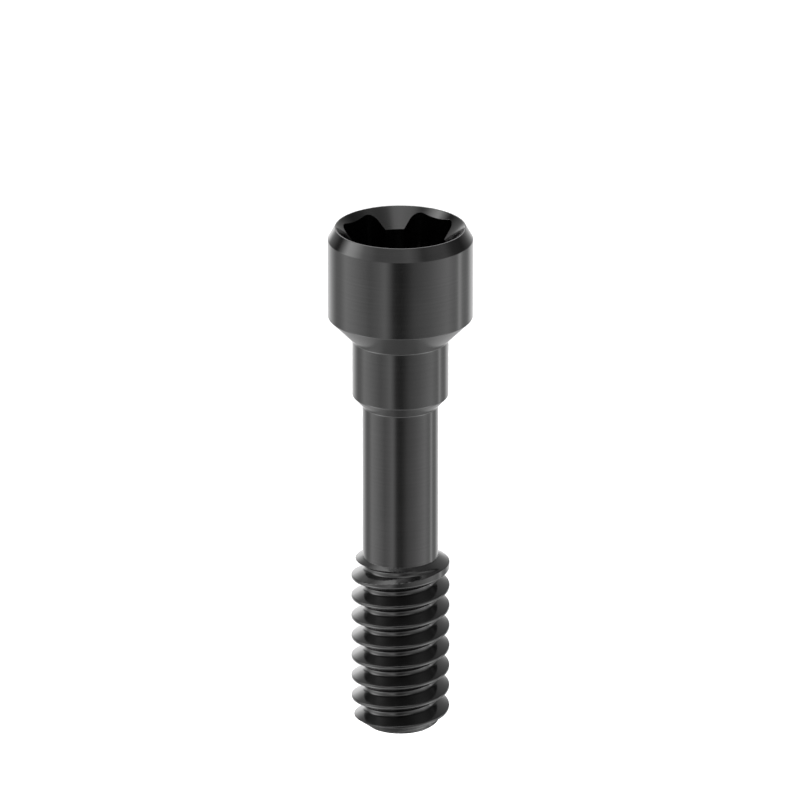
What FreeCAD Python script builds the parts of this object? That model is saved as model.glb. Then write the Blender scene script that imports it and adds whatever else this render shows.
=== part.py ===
import FreeCAD, Part
import math
import os

# A dental abutment screw, turned from one titanium bar and coated dark.
# From its free end to its head: right-hand metric thread, plain shank, guide
# collar, conical seat, cylindrical head and a four-lobed driver socket.
# It is drawn standing on its end, with its axis on Z, and is then laid on its
# side as it comes to rest: on its first full thread and on the edge of its head.

# Thread, a standard metric fine-mechanics form. Lengths are in millimetres.
THREAD_DIAMETER = 1.60
THREAD_PITCH = 0.35
THREAD_LENGTH = 2.92

# Chamfers at the free end and where the thread meets the shank.
END_FACE_DIAMETER = 1.10
END_CHAMFER_HEIGHT = 0.19
SHANK_CHAMFER_HEIGHT = 0.11

# Last of the groove, where the tool draws out. Angles are in degrees, counter-clockwise
# seen from the head, and start at the side that lies on the floor.
DRAW_OUT_HEIGHT = 2.7725
DRAW_OUT_ANGLE = 125.0
DRAW_OUT_TURN = 150.0

# Shank and guide collar.
SHANK_DIAMETER = 1.23
SHANK_LENGTH = 2.61
SHOULDER_HEIGHT = 0.18
COLLAR_DIAMETER = 1.56
COLLAR_LENGTH = 0.95

# Head, from its conical seat to its rim.
SEAT_HEIGHT = 0.40
HEAD_DIAMETER = 2.35
HEAD_LENGTH = 1.31
RIM_CHAMFER_HEIGHT = 0.20
RIM_DIAMETER = 2.12

# Four-lobed driver socket: two crossed slots over a round drilled bore.
SOCKET_MOUTH_DIAMETER = 2.08
COUNTERSINK_ANGLE = 90.0
SOCKET_BORE_DIAMETER = 1.49
SOCKET_SPAN = 1.87
SOCKET_ARM_WIDTH = 0.82
SOCKET_CORNER_RADIUS = 0.17
SOCKET_DEPTH = 1.20
SOCKET_BORE_DEPTH = 1.30
SOCKET_TURN = 52.0
DRILL_POINT_ANGLE = 118.0

# Small rounds that the tool leaves on the turned corners.
SHOULDER_ROUND = 0.03
SEAT_ROUND = 0.03
HEAD_ROUND = 0.02

# Standard proportions of a metric thread, as shares of its pitch.
FLANK_ANGLE = 60.0
CREST_FLAT_SHARE = 0.125
DEPTH_SHARE = 0.565
CUTTER_OVERREACH_SHARE = 0.05

# Heights of the turned steps, each stacked on the one below.
SHANK_CHAMFER_START = THREAD_LENGTH - SHANK_CHAMFER_HEIGHT
SHOULDER_START = THREAD_LENGTH + SHANK_LENGTH
COLLAR_START = SHOULDER_START + SHOULDER_HEIGHT
SEAT_START = COLLAR_START + COLLAR_LENGTH
HEAD_START = SEAT_START + SEAT_HEIGHT
RIM_CHAMFER_START = HEAD_START + HEAD_LENGTH
OVERALL_LENGTH = RIM_CHAMFER_START + RIM_CHAMFER_HEIGHT
THREAD_DEPTH = DEPTH_SHARE * THREAD_PITCH

AXIS_FOOT = FreeCAD.Vector(0, 0, 0)
AXIS = FreeCAD.Vector(0, 0, 1)
ACROSS = FreeCAD.Vector(0, 1, 0)
QUARTER_TURN = 90.0
FULL_TURN = 360.0


def turned(outline):
    """Turn an outline of (radius, height) points about the screw's axis."""
    corners = [FreeCAD.Vector(radius, 0, height) for radius, height in outline]
    section = Part.Face(Part.makePolygon(corners + corners[:1]))
    return section.revolve(AXIS_FOOT, AXIS, FULL_TURN)


def ring_edges(shape, diameter, height):
    """Find the circular edges of a shape that have this diameter and height."""
    tolerance = 1e-6
    rings = []
    for edge in shape.Edges:
        curve = edge.Curve
        if not isinstance(curve, Part.Circle):
            continue
        if abs(curve.Radius - diameter / 2) < tolerance and abs(curve.Center.z - height) < tolerance:
            rings.append(edge)
    return rings


def turned_body():
    """The plain turned blank above the thread: shank, collar, seat and head."""
    blank = turned([
        (0, THREAD_LENGTH),
        (SHANK_DIAMETER / 2, THREAD_LENGTH),
        (SHANK_DIAMETER / 2, SHOULDER_START),
        (COLLAR_DIAMETER / 2, COLLAR_START),
        (COLLAR_DIAMETER / 2, SEAT_START),
        (HEAD_DIAMETER / 2, HEAD_START),
        (HEAD_DIAMETER / 2, RIM_CHAMFER_START),
        (RIM_DIAMETER / 2, OVERALL_LENGTH),
        (0, OVERALL_LENGTH),
    ])
    corners = [
        (SHOULDER_ROUND, SHANK_DIAMETER, SHOULDER_START),
        (SHOULDER_ROUND, COLLAR_DIAMETER, COLLAR_START),
        (SEAT_ROUND, COLLAR_DIAMETER, SEAT_START),
        (HEAD_ROUND, HEAD_DIAMETER, HEAD_START),
    ]
    for radius, diameter, height in corners:
        blank = blank.makeFillet(radius, ring_edges(blank, diameter, height))
    return blank


def thread_blank():
    """The bar that the thread is cut in, chamfered at both ends."""
    return turned([
        (0, 0),
        (END_FACE_DIAMETER / 2, 0),
        (THREAD_DIAMETER / 2, END_CHAMFER_HEIGHT),
        (THREAD_DIAMETER / 2, SHANK_CHAMFER_START),
        (SHANK_DIAMETER / 2, THREAD_LENGTH),
        (0, THREAD_LENGTH),
    ])


def groove_profile():
    """The section of the thread groove: two flanks and the narrow flat root between them."""
    slope = math.tan(math.radians(FLANK_ANGLE / 2))
    overreach = CUTTER_OVERREACH_SHARE * THREAD_PITCH
    outer_radius = THREAD_DIAMETER / 2 + overreach
    root_radius = THREAD_DIAMETER / 2 - THREAD_DEPTH
    mouth_half = THREAD_PITCH * (1 - CREST_FLAT_SHARE) / 2
    outer_half = mouth_half + overreach * slope
    root_half = mouth_half - THREAD_DEPTH * slope
    corners = [
        FreeCAD.Vector(outer_radius, 0, -outer_half),
        FreeCAD.Vector(root_radius, 0, -root_half),
        FreeCAD.Vector(root_radius, 0, root_half),
        FreeCAD.Vector(outer_radius, 0, outer_half),
    ]
    return Part.makePolygon(corners + corners[:1])


def groove_turn(turn_angle, spread_angle):
    """One stretch of the right-hand groove, which spreads outwards if it is given an angle."""
    rise = THREAD_PITCH * turn_angle / FULL_TURN
    helix = Part.makeHelix(THREAD_PITCH, rise, THREAD_DIAMETER / 2, spread_angle)
    stretch = Part.Wire(helix).makePipeShell([groove_profile()], True, True)
    stretch.rotate(AXIS_FOOT, AXIS, DRAW_OUT_ANGLE)
    return stretch


def thread_groove():
    """The groove, turn below turn to past the free end, with its drawn-out last part."""
    turns = []
    full_turn = groove_turn(FULL_TURN, 0)
    foot = DRAW_OUT_HEIGHT
    while foot > -THREAD_PITCH:
        foot -= THREAD_PITCH
        turn = full_turn.copy()
        turn.translate(AXIS * foot)
        turns.append(turn)
    draw_out_rise = THREAD_PITCH * DRAW_OUT_TURN / FULL_TURN
    spread_angle = math.degrees(math.atan(THREAD_DEPTH / draw_out_rise))
    draw_out = groove_turn(DRAW_OUT_TURN, spread_angle)
    draw_out.translate(AXIS * DRAW_OUT_HEIGHT)
    return draw_out.multiFuse(turns)


def driver_socket():
    """The space that the driver enters: countersink, crossed slots and drilled bore."""
    half_point = math.radians(DRILL_POINT_ANGLE / 2)
    point_depth = SOCKET_BORE_DIAMETER / 2 / math.tan(half_point)
    bore_floor = OVERALL_LENGTH - SOCKET_BORE_DEPTH
    bore = turned([
        (0, bore_floor - point_depth),
        (SOCKET_BORE_DIAMETER / 2, bore_floor),
        (SOCKET_BORE_DIAMETER / 2, OVERALL_LENGTH),
        (0, OVERALL_LENGTH),
    ])
    countersink_depth = SOCKET_MOUTH_DIAMETER / 2 / math.tan(math.radians(COUNTERSINK_ANGLE / 2))
    countersink = turned([
        (0, OVERALL_LENGTH - countersink_depth),
        (SOCKET_MOUTH_DIAMETER / 2, OVERALL_LENGTH),
        (0, OVERALL_LENGTH),
    ])
    socket = bore.fuse(countersink)
    for turn in (0, QUARTER_TURN):
        slot = Part.makeBox(
            SOCKET_SPAN, SOCKET_ARM_WIDTH, SOCKET_DEPTH,
            FreeCAD.Vector(-SOCKET_SPAN / 2, -SOCKET_ARM_WIDTH / 2, OVERALL_LENGTH - SOCKET_DEPTH))
        upright = [edge for edge in slot.Edges if abs(edge.tangentAt(edge.FirstParameter).z) > 0.99]
        slot = slot.makeFillet(SOCKET_CORNER_RADIUS, upright)
        slot.rotate(AXIS_FOOT, AXIS, SOCKET_TURN + turn)
        socket = socket.fuse(slot)
    return socket


def screw():
    """The whole screw as one solid, standing on its free end."""
    threaded = thread_blank().cut(thread_groove())
    body = turned_body().cut(driver_socket())
    return body.fuse(threaded).removeSplitter()


def lowest_crest():
    """Height of the lower edge of the first full crest on the side that lies on the floor."""
    groove_centre = DRAW_OUT_HEIGHT - THREAD_PITCH * DRAW_OUT_ANGLE / FULL_TURN
    crest_edge = groove_centre + THREAD_PITCH * (1 - CREST_FLAT_SHARE) / 2
    while crest_edge - THREAD_PITCH > END_CHAMFER_HEIGHT:
        crest_edge -= THREAD_PITCH
    return crest_edge


def laid_down(standing):
    """The screw on its side with its head towards +X, centred over the origin."""
    step = (HEAD_DIAMETER - THREAD_DIAMETER) / 2
    tilt = math.atan(step / (HEAD_START - lowest_crest()))
    rear = -END_FACE_DIAMETER / 2 * math.sin(tilt)
    front = OVERALL_LENGTH * math.cos(tilt) + RIM_DIAMETER / 2 * math.sin(tilt)
    floor = HEAD_START * math.sin(tilt) - HEAD_DIAMETER / 2 * math.cos(tilt)
    lying = standing.copy()
    lying.rotate(AXIS_FOOT, ACROSS, QUARTER_TURN - math.degrees(tilt))
    lying.translate(FreeCAD.Vector(-(rear + front) / 2, 0, -floor))
    return lying


os.makedirs("parts", exist_ok=True)
abutment_screw = laid_down(screw())
abutment_screw.exportStep("parts/abutment_screw.step")
print("solids", len(abutment_screw.Solids), "valid", abutment_screw.isValid())
print("volume", round(abutment_screw.Volume, 4), "box", abutment_screw.BoundBox)
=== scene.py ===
import math

import bmesh
import bpy
from bpy.props import FloatProperty, FloatVectorProperty, IntProperty, PointerProperty
from mathutils import Matrix, Vector


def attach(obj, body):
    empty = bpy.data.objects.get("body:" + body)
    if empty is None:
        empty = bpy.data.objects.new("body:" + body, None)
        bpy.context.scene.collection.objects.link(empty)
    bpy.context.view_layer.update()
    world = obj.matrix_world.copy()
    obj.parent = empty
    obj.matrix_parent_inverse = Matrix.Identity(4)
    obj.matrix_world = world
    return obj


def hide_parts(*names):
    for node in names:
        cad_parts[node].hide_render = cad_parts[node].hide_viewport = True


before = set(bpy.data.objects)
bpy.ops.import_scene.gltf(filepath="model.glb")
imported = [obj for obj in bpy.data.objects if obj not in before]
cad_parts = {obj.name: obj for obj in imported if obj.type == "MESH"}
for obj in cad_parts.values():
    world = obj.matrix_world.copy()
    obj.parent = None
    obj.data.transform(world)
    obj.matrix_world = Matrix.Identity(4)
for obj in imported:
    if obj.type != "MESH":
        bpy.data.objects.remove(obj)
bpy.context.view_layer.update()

bl_info = {
    "name": "Dental Abutment Screw",
    "version": (1, 0, 0),
    "blender": (4, 5, 0),
    "location": "3D View > Sidebar > Abutment Screw",
    "description": "Builds a dark coated dental abutment screw, with its floor, light and camera",
    "category": "Add Mesh",
}

MM = 0.001
FULL_TURN = math.tau

# How fine the mesh is, and from which angle between two faces an edge looks sharp.
MERGE_DISTANCE = 1e-4 * MM
ARC_STEP = math.radians(12)
PARTS_IN_PITCH = 28
PARTS_IN_HEAD_WIDTH = 12
SLOT_ROUND_FACES = 8
SHARP_ANGLE = math.radians(22)

# Sockets of a Mix node that mixes colours. Their names also belong to its other kinds.
MIX_SHARE = 0
MIX_LOW = 6
MIX_HIGH = 7
MIX_RESULT = 2

# The photo's view. It looks down a little on the screw from its head's side, and its aim is
# a place in the upright drawing.
VIEW_RAISED = math.radians(20.2)
VIEW_AIM = (0, 0.0065 * MM, 5.601 * MM)
VIEW_DISTANCE = 0.1944
VIEW_NEAREST = 0.01
VIEW_FARTHEST = 2.0
LENS_MM = 540
SENSOR_MM = 36
FLOOR_REACH = 0.4


def length(name, description, millimetres):
    """A size of the screw, given in millimetres and held in metres."""
    return FloatProperty(
        name=name, description=description, default=millimetres * MM,
        min=0.0, precision=6, unit="LENGTH")


def angle(name, description, degrees):
    """An angle of the screw, given in degrees and held in radians."""
    return FloatProperty(
        name=name, description=description, default=math.radians(degrees),
        precision=3, unit="ROTATION")


def linear(hex_colour):
    """Turn an sRGB hex colour into the linear colour that Blender mixes."""
    channels = [int(hex_colour[place:place + 2], 16) / 255 for place in (1, 3, 5)]
    return [
        value / 12.92 if value <= 0.04045 else ((value + 0.055) / 1.055) ** 2.4
        for value in channels
    ]


def colour(name, description, hex_colour):
    """A colour that a user would change, given as an sRGB hex colour."""
    return FloatVectorProperty(
        name=name, description=description, default=linear(hex_colour),
        subtype="COLOR", min=0.0, max=1.0)


class ScrewSizes(bpy.types.PropertyGroup):
    """Sizes of the screw, from its free end to its head."""

    thread_diameter: length("Thread diameter", "Across the crests of the thread", 1.60)
    thread_pitch: length("Thread pitch", "From one crest to the next", 0.35)
    thread_length: length("Thread length", "From the end face to the plain shank", 2.92)
    thread_depth: length("Thread depth", "From crest to root", 0.198)
    crest_flat: length("Crest flat", "Width of the flat top of a crest", 0.044)
    crest_round: length("Crest round", "Round on the upper edge of a crest", 0.012)
    crest_relief: length("Crest relief", "Round on the lower edge of a crest", 0.03)
    root_round: length("Root round", "Round in the corners of the groove", 0.04)
    flank_angle: angle("Flank angle", "Between the two flanks of the groove", 60)
    end_diameter: length("End face", "Diameter of the flat end face", 1.10)
    end_chamfer: length("End chamfer", "Length of the chamfer at the free end", 0.19)
    shank_chamfer: length("Shank chamfer", "Length of the cone from the thread to the shank", 0.11)
    draw_out_height: length("Draw-out height", "Where the tool starts to leave the groove", 2.7725)
    draw_out_angle: angle("Draw-out angle", "Side on which the tool starts to leave", 125)
    draw_out_turn: angle("Draw-out turn", "Turn in which the tool leaves the groove", 150)
    shank_diameter: length("Shank diameter", "Plain shank above the thread", 1.23)
    shank_length: length("Shank length", "Plain shank above the thread", 2.61)
    shoulder_height: length("Shoulder", "Cone from the shank to the collar", 0.18)
    collar_diameter: length("Collar diameter", "Guide collar under the head", 1.56)
    collar_length: length("Collar length", "Guide collar under the head", 0.95)
    seat_height: length("Seat", "Conical seat under the head", 0.40)
    head_diameter: length("Head diameter", "Cylinder of the head", 2.35)
    head_length: length("Head length", "Cylinder of the head", 1.31)
    rim_chamfer: length("Rim chamfer", "Height of the chamfer on the head", 0.20)
    rim_diameter: length("Rim diameter", "Outer edge of the narrow rim", 2.12)
    mouth_diameter: length("Socket mouth", "Inner edge of the narrow rim", 2.08)
    bore_diameter: length("Socket bore", "Round bore in the middle of the socket", 1.49)
    bore_depth: length("Bore depth", "From the rim to the drill point", 1.30)
    slot_span: length("Slot span", "Across two opposite lobes", 1.87)
    slot_width: length("Slot width", "Width of a lobe", 0.82)
    slot_depth: length("Slot depth", "From the rim to the floor of the lobes", 1.20)
    slot_round: length("Slot round", "Round in the corners of the lobes", 0.17)
    slot_turn: angle("Slot turn", "How far the lobes are turned", 52)
    edge_round: length("Edge round", "Round on the turned edges of the head", 0.02)
    fillet: length("Fillet", "Round between the shank, collar and seat", 0.03)
    drill_point: angle("Drill point", "Full angle of the drill's point", 118)
    steps: IntProperty(name="Steps", description="Faces round the axis", default=160, min=24)


class ScrewLooks(bpy.types.PropertyGroup):
    """Colours and light of the scene."""

    coating: colour("Coating", "Reflected colour of the dark coating", "#595959")
    floor: colour("Floor", "Pale studio floor", "#f4f4f4")
    room_light: FloatProperty(
        name="Room light", description="Even light of the white room on the floor",
        default=2.6, min=0.0)
    panel_light: FloatProperty(
        name="Panel light", description="Brightness of the panels that the metal mirrors",
        default=1.0, min=0.0)


def mouth_half(sizes):
    """Half the width of the groove at the crests."""
    return (sizes.thread_pitch - sizes.crest_flat) / 2


def rounded(corners, hold=0.0):
    """An outline of (radius, height, round) corners as points, with an arc in each round.

    A hold adds a point that far from each arc, so that the faces beside it shade flat.
    """
    points = []
    last = len(corners) - 1
    for number, (radius, height, size) in enumerate(corners):
        corner = Vector((radius, height))
        if size == 0 or number in (0, last):
            points.append(corner)
            continue
        back = (Vector(corners[number - 1][:2]) - corner).normalized()
        ahead = (Vector(corners[number + 1][:2]) - corner).normalized()
        half = back.angle(ahead) / 2
        reach = size / math.tan(half)
        centre = corner + (back + ahead).normalized() * (size / math.sin(half))
        first = corner + back * reach - centre
        sweep = first.angle_signed(corner + ahead * reach - centre)
        count = max(2, round(abs(sweep) / ARC_STEP))
        if hold:
            points.append(corner + back * (reach + hold))
        for part in range(count + 1):
            points.append(centre + Matrix.Rotation(-sweep * part / count, 2) @ first)
        if hold:
            points.append(corner + ahead * (reach + hold))
    return points


def outline(mesh, points):
    """Lay an outline of (radius, height) points in the mesh as a chain of edges."""
    chain = [mesh.verts.new((point[0], 0, point[1])) for point in points]
    for low, high in zip(chain, chain[1:]):
        mesh.edges.new((low, high))


def subdivide_long(mesh, longest):
    """Cut the long edges of an outline into even parts."""
    for edge in mesh.edges[:]:
        cuts = math.ceil(edge.calc_length() / longest) - 1
        if cuts > 0:
            bmesh.ops.subdivide_edges(mesh, edges=[edge], cuts=cuts)


def spin_outline(mesh, steps, rise=0.0):
    """Spin all that the mesh holds once about the axis, rising as it goes if asked."""
    bmesh.ops.spin(
        mesh, geom=mesh.verts[:] + mesh.edges[:], cent=(0, 0, 0), axis=(0, 0, 1),
        dvec=(0, 0, rise / steps), angle=FULL_TURN, steps=steps,
        use_merge=rise == 0.0, use_duplicate=False)
    bmesh.ops.remove_doubles(mesh, verts=mesh.verts[:], dist=MERGE_DISTANCE)


def blank_radius(sizes, height):
    """Radius of the bar that the thread is cut in, at one height."""
    end = sizes.end_diameter / 2
    crest = sizes.thread_diameter / 2
    shank = sizes.shank_diameter / 2
    cone_foot = sizes.thread_length - sizes.shank_chamfer
    if height < sizes.end_chamfer:
        return end + (crest - end) * max(height, 0) / sizes.end_chamfer
    if height > cone_foot:
        return max(shank, crest - (crest - shank) * (height - cone_foot) / sizes.shank_chamfer)
    return crest


def cut_to_bar(mesh, sizes):
    """Draw the groove out where the tool leaves it, and keep the thread inside its bar."""
    pitch = sizes.thread_pitch
    draw_out_rise = pitch * sizes.draw_out_turn / FULL_TURN
    for vert in mesh.verts:
        side = math.atan2(vert.co.y, vert.co.x) - sizes.draw_out_angle
        groove = sizes.draw_out_height + pitch * side / FULL_TURN
        groove += pitch * round((vert.co.z - groove) / pitch)
        drawn = max(0.0, (groove - sizes.draw_out_height) / draw_out_rise)
        radius = vert.co.xy.length
        wanted = min(radius + drawn * sizes.thread_depth, blank_radius(sizes, vert.co.z))
        vert.co.xy *= wanted / radius


def threaded_bar(sizes, top):
    """The thread from its flat end face up to the foot of the plain shank."""
    pitch = sizes.thread_pitch
    crest = sizes.thread_diameter / 2
    root = crest - sizes.thread_depth
    mouth = mouth_half(sizes)
    root_half = mouth - sizes.thread_depth * math.tan(sizes.flank_angle / 2)
    start = sizes.draw_out_height - pitch * sizes.draw_out_angle / FULL_TURN
    turns_below = math.ceil(start / pitch) + 1
    turns_above = math.ceil((top - start) / pitch) + 1
    corners = []
    for turn in range(-turns_below, turns_above + 1):
        centre = start + turn * pitch
        corners += [
            (crest, centre - mouth, sizes.crest_round),
            (root, centre - root_half, sizes.root_round),
            (root, centre + root_half, sizes.root_round),
            (crest, centre + mouth, sizes.crest_relief),
        ]
    mesh = bmesh.new()
    outline(mesh, rounded(corners))
    subdivide_long(mesh, pitch / PARTS_IN_PITCH)
    spin_outline(mesh, sizes.steps, rise=pitch)
    cut_to_bar(mesh, sizes)
    for height, below in ((0.0, True), (top, False)):
        bmesh.ops.bisect_plane(
            mesh, geom=mesh.verts[:] + mesh.edges[:] + mesh.faces[:], dist=MERGE_DISTANCE,
            plane_co=(0, 0, height), plane_no=(0, 0, 1),
            clear_inner=below, clear_outer=not below)
    end_edges = [
        edge for edge in mesh.edges if edge.is_boundary and edge.verts[0].co.z < top / 2
    ]
    bmesh.ops.edgeloop_fill(mesh, edges=end_edges)
    return mesh


def heights(sizes):
    """Heights of the turned steps over the end face."""
    shoulder = sizes.thread_length + sizes.shank_length
    collar = shoulder + sizes.shoulder_height
    seat = collar + sizes.collar_length
    head = seat + sizes.seat_height
    chamfer = head + sizes.head_length
    return shoulder, collar, seat, head, chamfer, chamfer + sizes.rim_chamfer


def turned_body(sizes, foot):
    """Shank, collar, seat and head with the round parts of the socket, open at its foot."""
    shoulder, collar, seat, head, chamfer, top = heights(sizes)
    mouth_radius = sizes.mouth_diameter / 2
    bore_radius = sizes.bore_diameter / 2
    rim_width = (sizes.rim_diameter - sizes.mouth_diameter) / 2
    rim_round = rim_width / 4
    point = bore_radius / math.tan(sizes.drill_point / 2)
    mesh = bmesh.new()
    outline(mesh, rounded([
        (sizes.shank_diameter / 2, foot, 0),
        (sizes.shank_diameter / 2, shoulder, sizes.fillet),
        (sizes.collar_diameter / 2, collar, sizes.fillet),
        (sizes.collar_diameter / 2, seat, sizes.fillet),
        (sizes.head_diameter / 2, head, sizes.edge_round),
        (sizes.head_diameter / 2, chamfer, sizes.edge_round),
        (sizes.rim_diameter / 2, top, rim_round),
        (mouth_radius, top, rim_round),
        (bore_radius, top - (mouth_radius - bore_radius), 0),
        (bore_radius, top - sizes.bore_depth, 0),
        (0, top - sizes.bore_depth - point, 0),
    ], hold=rim_round))
    subdivide_long(mesh, sizes.head_diameter / PARTS_IN_HEAD_WIDTH)
    spin_outline(mesh, sizes.steps)
    bmesh.ops.recalc_face_normals(mesh, faces=mesh.faces[:])
    return mesh


def slot_cutter(sizes, turn):
    """One straight slot of the socket, with rounded corners, standing proud of the rim."""
    top = heights(sizes)[-1]
    proud = sizes.rim_chamfer
    height = sizes.slot_depth + proud
    size = Matrix.Diagonal((sizes.slot_span, sizes.slot_width, height, 1))
    place = Matrix.Translation((0, 0, top - sizes.slot_depth + height / 2))
    mesh = bmesh.new()
    bmesh.ops.create_cube(mesh, size=1.0)
    turned = place @ Matrix.Rotation(turn, 4, "Z") @ size
    bmesh.ops.transform(mesh, matrix=turned, verts=mesh.verts[:])
    upright = [
        edge for edge in mesh.edges
        if abs((edge.verts[0].co - edge.verts[1].co).z) > height / 2
    ]
    bmesh.ops.bevel(
        mesh, geom=upright, offset=sizes.slot_round, offset_type="OFFSET",
        segments=SLOT_ROUND_FACES, profile=0.5, affect="EDGES", material=-1)
    return mesh


def as_object(mesh, name):
    """Put a finished bmesh in the scene as an object of this name."""
    data = bpy.data.meshes.new(name)
    mesh.to_mesh(data)
    mesh.free()
    made = bpy.data.objects.new(name, data)
    bpy.context.scene.collection.objects.link(made)
    return made


def slotted(body_mesh, sizes):
    """Cut the two crossed slots out of the head and give the body back as a bmesh."""
    body = as_object(body_mesh, "slotting_body")
    cutters = []
    for turn in (sizes.slot_turn, sizes.slot_turn + FULL_TURN / 4):
        cutter = as_object(slot_cutter(sizes, turn), "slotting_cutter")
        cut = body.modifiers.new("Slot", "BOOLEAN")
        cut.operation = "DIFFERENCE"
        cut.solver = "EXACT"
        cut.object = cutter
        cutters.append(cutter)
    bpy.context.view_layer.update()
    graph = bpy.context.evaluated_depsgraph_get()
    mesh = bmesh.new()
    mesh.from_mesh(body.evaluated_get(graph).to_mesh())
    for spare in cutters + [body]:
        bpy.data.meshes.remove(spare.data)
    return mesh


def joined(bar, body, foot):
    """Join the threaded bar to the body with a narrow band of faces."""
    data = bpy.data.meshes.new("joining")
    body.to_mesh(data)
    body.free()
    bar.from_mesh(data)
    bpy.data.meshes.remove(data)
    open_edges = [
        edge for edge in bar.edges if edge.is_boundary and edge.verts[0].co.z < 2 * foot
    ]
    bmesh.ops.bridge_loops(bar, edges=open_edges)
    bmesh.ops.remove_doubles(bar, verts=bar.verts[:], dist=MERGE_DISTANCE)
    bmesh.ops.recalc_face_normals(bar, faces=bar.faces[:])
    return bar


def rest_tilt(sizes):
    """How far the screw's axis rises, resting on its first full crest and its head's edge."""
    crest = sizes.draw_out_height - sizes.thread_pitch * sizes.draw_out_angle / FULL_TURN
    crest += mouth_half(sizes)
    while crest - sizes.thread_pitch > sizes.end_chamfer:
        crest -= sizes.thread_pitch
    step = (sizes.head_diameter - sizes.thread_diameter) / 2
    return math.atan(step / (heights(sizes)[3] - crest))


def lying(sizes):
    """The move from the upright drawing to the screw's place on the floor."""
    tilt = rest_tilt(sizes)
    head = heights(sizes)[3]
    top = heights(sizes)[-1]
    rear = -sizes.end_diameter / 2 * math.sin(tilt)
    front = top * math.cos(tilt) + sizes.rim_diameter / 2 * math.sin(tilt)
    floor = head * math.sin(tilt) - sizes.head_diameter / 2 * math.cos(tilt)
    place = Matrix.Translation((-(rear + front) / 2, 0, -floor))
    return place @ Matrix.Rotation(FULL_TURN / 4 - tilt, 4, "Y")


def add_node(tree, kind, settings, links):
    """Add a node with its settings, and link each named input from a socket."""
    node = tree.nodes.new(kind)
    for name, value in settings.items():
        if isinstance(name, str) and hasattr(node, name):
            setattr(node, name, value)
        else:
            node.inputs[name].default_value = value
    for name, socket in links.items():
        tree.links.new(socket, node.inputs[name])
    return node


def coated_titanium(sizes, looks):
    """Turned titanium under a thin dark hard coating."""
    # To the eye it is a dark satin metal that mirrors the panels a little blurred, with
    # fine turning marks round the screw.
    mark_spacing = 0.03 * MM
    mark_depth = 0.002 * MM
    mark_relief = 0.05
    mark_share = 0.65
    radius_share = 0.7
    patch_width = 0.5 * MM
    smoothest = 0.11
    roughest = 0.17
    broken_edge = 0.008 * MM
    darker = [0.86 * part for part in looks.coating] + [1.0]
    lighter = [1.14 * part for part in looks.coating] + [1.0]
    material = bpy.data.materials.new("Dark coated titanium")
    material.use_nodes = True
    tree = material.node_tree
    tree.nodes.clear()
    where = add_node(tree, "ShaderNodeTexCoord", {}, {})
    back = lying(sizes).inverted()
    upright = add_node(
        tree, "ShaderNodeMapping",
        {"Location": back.to_translation(), "Rotation": back.to_euler("XYZ")},
        {"Vector": where.outputs["Object"]})
    # Turned rings follow the height on cylinders and the radius on flat faces.
    split = add_node(tree, "ShaderNodeSeparateXYZ", {}, {"Vector": upright.outputs["Vector"]})
    across = add_node(
        tree, "ShaderNodeCombineXYZ", {},
        {"X": split.outputs["X"], "Y": split.outputs["Y"]})
    radius = add_node(
        tree, "ShaderNodeVectorMath", {"operation": "LENGTH"}, {0: across.outputs["Vector"]})
    ring = add_node(
        tree, "ShaderNodeMath", {"operation": "MULTIPLY_ADD", 1: radius_share},
        {0: radius.outputs["Value"], 2: split.outputs["Z"]})
    marks = add_node(
        tree, "ShaderNodeTexNoise",
        {"noise_dimensions": "1D", "Scale": 1 / mark_spacing, "Detail": 3.0, "Roughness": 0.6},
        {"W": ring.outputs["Value"]})
    # The coating is a little uneven, which the eye sees as soft patches in the satin.
    patches = add_node(
        tree, "ShaderNodeTexNoise", {"Scale": 1 / patch_width, "Detail": 4.0, "Roughness": 0.55},
        {"Vector": upright.outputs["Vector"]})
    finish = add_node(
        tree, "ShaderNodeMath", {"operation": "MULTIPLY", 1: 1 - mark_share},
        {0: patches.outputs["Fac"]})
    both = add_node(
        tree, "ShaderNodeMath", {"operation": "MULTIPLY_ADD", 1: mark_share},
        {0: marks.outputs["Fac"], 2: finish.outputs["Value"]})
    satin = add_node(
        tree, "ShaderNodeMapRange",
        {"From Min": 0.3, "From Max": 0.7, "To Min": smoothest, "To Max": roughest},
        {"Value": both.outputs["Value"]})
    soft_edges = add_node(tree, "ShaderNodeBevel", {"samples": 4, "Radius": broken_edge}, {})
    bump = add_node(
        tree, "ShaderNodeBump", {"Strength": mark_relief, "Distance": mark_depth},
        {"Height": marks.outputs["Fac"], "Normal": soft_edges.outputs["Normal"]})
    # The coating is thinner and so a little lighter on the ridges of the turning marks.
    tint = add_node(
        tree, "ShaderNodeMix",
        {"data_type": "RGBA", MIX_LOW: darker, MIX_HIGH: lighter},
        {MIX_SHARE: both.outputs["Value"]})
    surface = add_node(
        tree, "ShaderNodeBsdfPrincipled", {"Metallic": 1.0},
        {"Base Color": tint.outputs[MIX_RESULT], "Roughness": satin.outputs["Result"],
         "Normal": bump.outputs["Normal"]})
    add_node(tree, "ShaderNodeOutputMaterial", {}, {"Surface": surface.outputs["BSDF"]})
    return material


def pale_floor(looks):
    """Smooth matt studio floor."""
    # To the eye it is an even ground, near white, that takes a faint soft shadow.
    material = bpy.data.materials.new("Pale matt floor")
    material.use_nodes = True
    surface = material.node_tree.nodes["Principled BSDF"]
    surface.inputs["Base Color"].default_value = (*looks.floor, 1.0)
    surface.inputs["Roughness"].default_value = 0.9
    surface.inputs["Specular IOR Level"].default_value = 0.0
    return material


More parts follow.
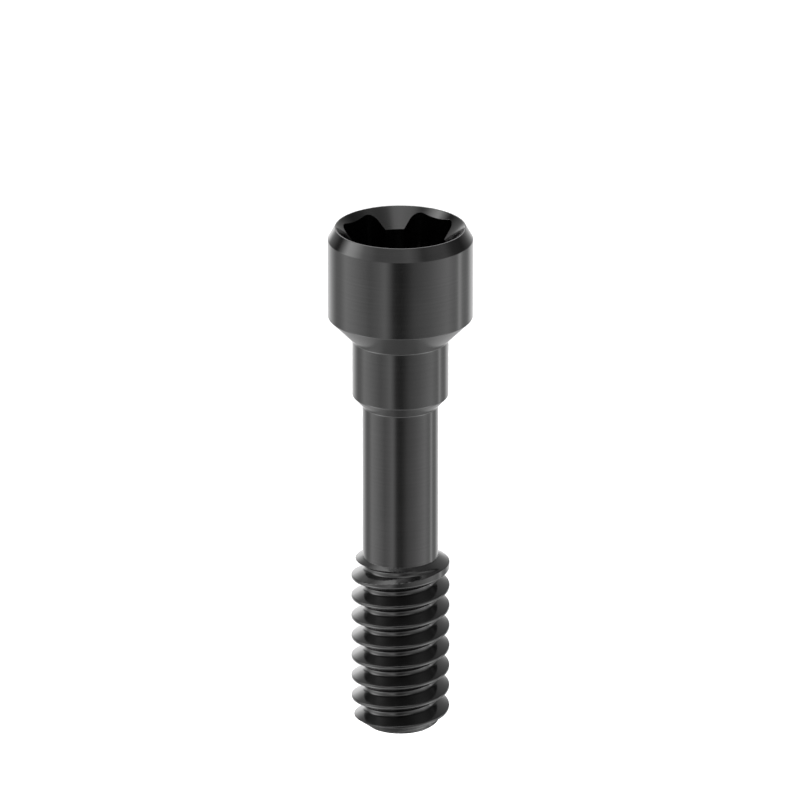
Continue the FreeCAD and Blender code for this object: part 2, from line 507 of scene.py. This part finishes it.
class ABUTMENT_OT_screw(bpy.types.Operator):
    """Turn, thread and coat the screw, and lay it on the floor"""

    bl_idname = "abutment.screw"
    bl_label = "Screw"

    def execute(self, context):
        sizes = context.scene.screw_sizes
        band = sizes.edge_round
        bar_top = sizes.thread_length + band
        bar = threaded_bar(sizes, bar_top)
        body = slotted(turned_body(sizes, bar_top + band), sizes)
        mesh = joined(bar, body, bar_top)
        bmesh.ops.transform(mesh, matrix=lying(sizes), verts=mesh.verts[:])
        for face in mesh.faces:
            face.smooth = True
        screw = as_object(mesh, "coated_screw")
        screw.data.set_sharp_from_angle(angle=SHARP_ANGLE)
        screw.data.materials.append(coated_titanium(sizes, context.scene.screw_looks))
        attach(screw, "root")
        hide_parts("abutment_screw")
        return {"FINISHED"}


# Light panels round the screw, as the metal mirrors them: degrees from straight over the
# screw towards the picture's right, and the brightness there. From the picture's foot to
# its top, three belts are below the screw's free end, two stand round the screw and two
# are beyond its head.
FLOOR_PANELS = ((-180, 0.1), (0, 0.3), (180, 0.1))
BELOW_PANELS = (
    (-180, 0.25), (-126, 0.9), (-60, 1.3), (0, 1.6), (60, 1.3), (126, 0.9), (180, 0.25))
GROUND_PANELS = (
    (-180, 0.1), (-171, 0.12), (-167, 0.7), (-156, 0.75), (-145, 0.7), (-125, 0.8),
    (-100, 1.9), (-82, 3.1), (-66, 2.0), (-48, 1.1), (-30, 0.7), (0, 0.44), (22, 0.5),
    (43, 0.85), (64, 1.5), (82, 2.8), (100, 1.6), (130, 0.7), (145, 0.75), (158, 0.8),
    (167, 0.75), (171, 0.12), (180, 0.1))
FOOT_PANELS = (
    (-180, 1.1), (-150, 1.25), (-138, 1.0), (-124, 0.6), (-112, 0.75), (-98, 1.3),
    (-84, 1.1), (-66, 0.76), (-50, 0.48), (-36, 0.64), (-25, 0.9), (-19, 0.6), (-11, 0.12),
    (-4, 0.05), (3, 0.05), (10, 0.13), (22, 0.34), (48, 0.57), (64, 0.8), (82, 1.08),
    (98, 0.83), (104, 1.0), (109, 1.9), (112, 1.6), (117, 0.9), (126, 0.66), (134, 0.65),
    (146, 1.2), (180, 1.1))
SIDE_PANELS = (
    (-180, 1.1), (-172, 1.6), (-162, 2.1), (-154, 1.35), (-147, 0.55), (-140, 0.45),
    (-131, 0.35), (-122, 0.12), (-116, 0.1), (-106, 1.0), (-96, 2.4), (-84, 2.0),
    (-66, 0.8), (-40, 0.4), (0, 0.45), (15, 0.6), (28, 0.42), (40, 0.2), (60, 0.32),
    (80, 0.38), (95, 0.15), (118, 0.1), (130, 0.25), (142, 0.42), (154, 0.54),
    (162, 0.7), (170, 1.0), (180, 1.1))
TOP_PANELS = (
    (-180, 1.0), (-110, 1.5), (-90, 1.2), (-72, 0.35), (-58, 0.25), (-40, 0.75), (0, 0.95),
    (22, 0.88), (40, 0.35), (60, 0.24), (110, 0.18), (140, 0.3), (180, 0.4))
ZENITH_PANELS = (
    (-180, 1.5), (-60, 2.0), (0, 1.8), (25, 0.6), (100, 0.5), (180, 1.0))
BRIGHTEST_PANEL = 4.0

# Each belt after the first takes over from the one before it between two angles, in
# degrees along the screw towards its head.
FIRST_BELT = FLOOR_PANELS
NEXT_BELTS = (
    (BELOW_PANELS, -80, -74), (GROUND_PANELS, -66, -50), (FOOT_PANELS, -31, -23),
    (SIDE_PANELS, -16, 8), (TOP_PANELS, 47, 62), (ZENITH_PANELS, 71, 77))


def panel_belt(tree, place, panels):
    """One belt of light panels as a soft ramp round the screw."""
    belt = add_node(tree, "ShaderNodeValToRGB", {}, {"Fac": place})
    ramp = belt.color_ramp
    ramp.elements.remove(ramp.elements[0])
    for number, (degrees, brightness) in enumerate(panels):
        spot = 0.5 + degrees / 360
        stop = ramp.elements[0] if number == 0 else ramp.elements.new(spot)
        stop.position = spot
        stop.color = (*[brightness / BRIGHTEST_PANEL] * 3, 1.0)
    return belt.outputs["Color"]


def blend_along(tree, along, low, high, start, end):
    """Blend from one belt to the next between two angles along the screw."""
    share = add_node(
        tree, "ShaderNodeMapRange",
        {"From Min": math.sin(math.radians(start)), "From Max": math.sin(math.radians(end))},
        {"Value": along})
    blend = add_node(
        tree, "ShaderNodeMix", {"data_type": "RGBA"},
        {MIX_SHARE: share.outputs["Result"], MIX_LOW: low, MIX_HIGH: high})
    return blend.outputs[MIX_RESULT]


def studio(looks):
    """Even white room with belts of light panels that only the metal mirrors."""
    world = bpy.data.worlds.new("Studio")
    world.use_nodes = True
    bpy.context.scene.world = world
    tree = world.node_tree
    tree.nodes.clear()
    where = add_node(tree, "ShaderNodeTexCoord", {}, {})
    split = add_node(tree, "ShaderNodeSeparateXYZ", {}, {"Vector": where.outputs["Generated"]})
    right = add_node(
        tree, "ShaderNodeMath", {"operation": "MULTIPLY", 1: -1.0}, {0: split.outputs["Y"]})
    side = add_node(
        tree, "ShaderNodeMath", {"operation": "ARCTAN2"},
        {0: right.outputs["Value"], 1: split.outputs["Z"]})
    turn = add_node(
        tree, "ShaderNodeMapRange",
        {"From Min": -math.pi, "From Max": math.pi, "To Min": 0.0, "To Max": 1.0},
        {"Value": side.outputs["Value"]})
    place = turn.outputs["Result"]
    along = split.outputs["X"]
    light = panel_belt(tree, place, FIRST_BELT)
    for panels, start, end in NEXT_BELTS:
        light = blend_along(tree, along, light, panel_belt(tree, place, panels), start, end)
    mirrored = add_node(
        tree, "ShaderNodeBackground", {"Strength": looks.panel_light * BRIGHTEST_PANEL},
        {"Color": light})
    room = add_node(
        tree, "ShaderNodeBackground",
        {"Color": (1.0, 1.0, 1.0, 1.0), "Strength": looks.room_light}, {})
    path = add_node(tree, "ShaderNodeLightPath", {}, {})
    both = add_node(
        tree, "ShaderNodeMixShader", {},
        {0: path.outputs["Is Glossy Ray"], 1: room.outputs["Background"],
         2: mirrored.outputs["Background"]})
    add_node(tree, "ShaderNodeOutputWorld", {}, {"Surface": both.outputs["Shader"]})


def photo_camera(sizes):
    """A camera that sees the screw as the photo does."""
    place = lying(sizes)
    along = (place.to_3x3() @ Vector((0, 0, 1))).normalized()
    towards = (place.to_3x3() @ Vector((-1, 0, 0))).normalized()
    back = towards * math.cos(VIEW_RAISED) + along * math.sin(VIEW_RAISED)
    up = along * math.cos(VIEW_RAISED) - towards * math.sin(VIEW_RAISED)
    right = up.cross(back)
    aim = place @ Vector(VIEW_AIM)
    view = bpy.data.cameras.new("Photo view")
    view.lens = LENS_MM
    view.sensor_width = SENSOR_MM
    view.clip_start = VIEW_NEAREST
    view.clip_end = VIEW_FARTHEST
    camera = bpy.data.objects.new("Photo view", view)
    facing = Matrix((right, up, back)).transposed().to_4x4()
    camera.matrix_world = Matrix.Translation(aim + back * VIEW_DISTANCE) @ facing
    return camera


class ABUTMENT_OT_stage(bpy.types.Operator):
    """Set the pale floor, the soft light and the camera"""

    bl_idname = "abutment.stage"
    bl_label = "Stage"

    def execute(self, context):
        looks = context.scene.screw_looks
        mesh = bmesh.new()
        bmesh.ops.create_grid(mesh, x_segments=1, y_segments=1, size=FLOOR_REACH)
        floor = as_object(mesh, "studio_floor")
        floor.data.materials.append(pale_floor(looks))
        # The metal mirrors the panels and not the floor, as on a clear stand.
        floor.visible_glossy = False
        studio(looks)
        context.scene.view_settings.view_transform = "Standard"

        camera = photo_camera(context.scene.screw_sizes)
        context.scene.collection.objects.link(camera)
        context.scene.camera = camera
        return {"FINISHED"}


class ABUTMENT_PT_sidebar(bpy.types.Panel):
    """Sidebar panel with the screw's sizes and its operators"""

    bl_idname = "ABUTMENT_PT_sidebar"
    bl_label = "Abutment Screw"
    bl_space_type = "VIEW_3D"
    bl_region_type = "UI"
    bl_category = "Abutment Screw"

    def draw(self, context):
        layout = self.layout
        layout.operator(ABUTMENT_OT_screw.bl_idname)
        layout.operator(ABUTMENT_OT_stage.bl_idname)
        for group in (context.scene.screw_looks, context.scene.screw_sizes):
            for name in group.__annotations__:
                layout.prop(group, name)


CLASSES = (ScrewSizes, ScrewLooks, ABUTMENT_OT_screw, ABUTMENT_OT_stage, ABUTMENT_PT_sidebar)


def register():
    for made in CLASSES:
        bpy.utils.register_class(made)
    bpy.types.Scene.screw_sizes = PointerProperty(type=ScrewSizes)
    bpy.types.Scene.screw_looks = PointerProperty(type=ScrewLooks)


def unregister():
    del bpy.types.Scene.screw_looks
    del bpy.types.Scene.screw_sizes
    for made in reversed(CLASSES):
        bpy.utils.unregister_class(made)


def main():
    register()
    bpy.ops.abutment.screw()
    bpy.ops.abutment.stage()


if __name__ == "__main__":
    main()
